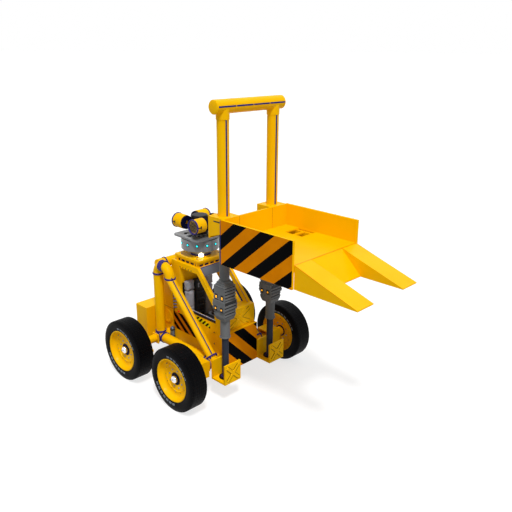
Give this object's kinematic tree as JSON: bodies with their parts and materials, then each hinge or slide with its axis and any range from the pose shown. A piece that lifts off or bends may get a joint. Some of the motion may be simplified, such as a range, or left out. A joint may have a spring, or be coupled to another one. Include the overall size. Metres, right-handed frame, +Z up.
{
  "type": "tray-and-fork forklift truck",
  "caption": "Compact yellow forklift truck: tube chassis on large wheels, open cab, twin telescopic rams lifting a striped tray with wedge forks, and a roof lamp turret.",
  "frame": {"origin": "on the ground, under the middle of the truck's overall length and width", "axes": "+Z up, -Y towards the forks at the front, +X towards the driver's left"},
  "size_m": [2.413, 4.2, 4.1739],
  "materials": {
    "yellow_paint": "gloss yellow enamel",
    "striped_paint": "gloss enamel in orange and black warning stripes",
    "grey_paint": "satin grey enamel",
    "turret_paint": "satin mid-grey enamel",
    "lamp_paint": "gloss yellow enamel with black collars and grilles",
    "header_paint": "satin slate-grey enamel",
    "reservoir_steel": "blue-grey steel",
    "tyre_rubber": "moulded black rubber",
    "bare_steel": "turned bare steel",
    "engine_iron": "as-cast iron",
    "seat_vinyl": "grained grey and black vinyl",
    "black_plastic": "moulded black plastic"
  },
  "bodies": {
    "chassis": {"chassis_tub": "yellow_paint", "front_panel": "striped_paint", "nose_box": "yellow_paint", "cab_side_walls": "yellow_paint", "cab_roof_frame": "yellow_paint", "windscreen_header": "header_paint", "cab_rear_wall": "yellow_paint", "engine_housing": "yellow_paint", "engine_block": "engine_iron", "seat_pedestal": "black_plastic", "seat_cushion": "seat_vinyl", "seat_back": "seat_vinyl", "steering_column": "black_plastic", "roof_plate": "yellow_paint", "frame_joints": "yellow_paint", "lower_tubes": "yellow_paint", "upright_tubes": "yellow_paint", "diagonal_tubes": "yellow_paint", "top_cross_tube": "yellow_paint", "front_axle": "yellow_paint", "rear_axle": "yellow_paint", "counterweight": "yellow_paint", "ram_brackets": "yellow_paint", "lower_columns": "grey_paint", "canister": "reservoir_steel"},
    "lift_stage": {"middle_columns": "grey_paint", "drive_housings": "grey_paint"},
    "carriage": {"carriage_brackets": "yellow_paint", "tray_back_wall": "yellow_paint", "tray_floor": "yellow_paint", "tray_side_panels": "striped_paint", "fork_wedges": "yellow_paint", "apron_wedge": "yellow_paint", "mast_tubes": "yellow_paint", "crossbar": "yellow_paint"},
    "turret": {"beacon_drum": "turret_paint", "beacon_plate": "turret_paint", "beacon_lamps": "lamp_paint"},
    "steer_right": {"knuckle_right": "yellow_paint"},
    "steer_left": {"knuckle_left": "yellow_paint"},
    "track_rod": {"tie_rod": "bare_steel"},
    "wheel_front_right": {"tyre_front_right": "tyre_rubber", "rim_front_right": "yellow_paint"},
    "wheel_front_left": {"tyre_front_left": "tyre_rubber", "rim_front_left": "yellow_paint"},
    "wheel_rear_right": {"tyre_rear_right": "tyre_rubber", "rim_rear_right": "yellow_paint"},
    "wheel_rear_left": {"tyre_rear_left": "tyre_rubber", "rim_rear_left": "yellow_paint"}
  },
  "joints": [
    {"name": "front_right_spin", "type": "hinge", "parent": "chassis", "child": "wheel_front_right", "pos_m": [-1.066, 0.438, 0.462], "axis": [1, 0, 0], "continuous": true},
    {"name": "front_left_spin", "type": "hinge", "parent": "chassis", "child": "wheel_front_left", "pos_m": [1.066, 0.438, 0.462], "axis": [1, 0, 0], "continuous": true},
    {"name": "steer_right", "type": "hinge", "parent": "chassis", "child": "steer_right", "pos_m": [-0.768, 1.638, 0.462], "axis": [0, 0, 1], "range_deg": [-30, 30]},
    {"name": "steer_left", "type": "hinge", "parent": "chassis", "child": "steer_left", "pos_m": [0.768, 1.638, 0.462], "axis": [0, 0, 1], "range_deg": [-30, 30]},
    {"name": "track_rod_pivot", "type": "hinge", "parent": "steer_right", "child": "track_rod", "pos_m": [-0.768, 1.478, 0.264], "axis": [0, 0, 1], "range_deg": [-30, 30]},
    {"name": "rear_right_spin", "type": "hinge", "parent": "steer_right", "child": "wheel_rear_right", "pos_m": [-1.066, 1.638, 0.462], "axis": [1, 0, 0], "continuous": true},
    {"name": "rear_left_spin", "type": "hinge", "parent": "steer_left", "child": "wheel_rear_left", "pos_m": [1.066, 1.638, 0.462], "axis": [1, 0, 0], "continuous": true},
    {"name": "stage_lift", "type": "slide", "parent": "chassis", "child": "lift_stage", "axis": [0, 0, 1], "range_m": [-0.6, 0.7]},
    {"name": "carriage_lift", "type": "slide", "parent": "lift_stage", "child": "carriage", "axis": [0, 0, 1], "range_m": [-0.85, 0.25]},
    {"name": "turret_turn", "type": "hinge", "parent": "chassis", "child": "turret", "pos_m": [0, 1.174, 1.84], "axis": [0, 0, 1], "continuous": true}
  ],
  "couplings": [
    {"joint": "steer_left", "follows": "steer_right", "ratio": 1},
    {"joint": "track_rod_pivot", "follows": "steer_right", "ratio": -1}
  ]
}
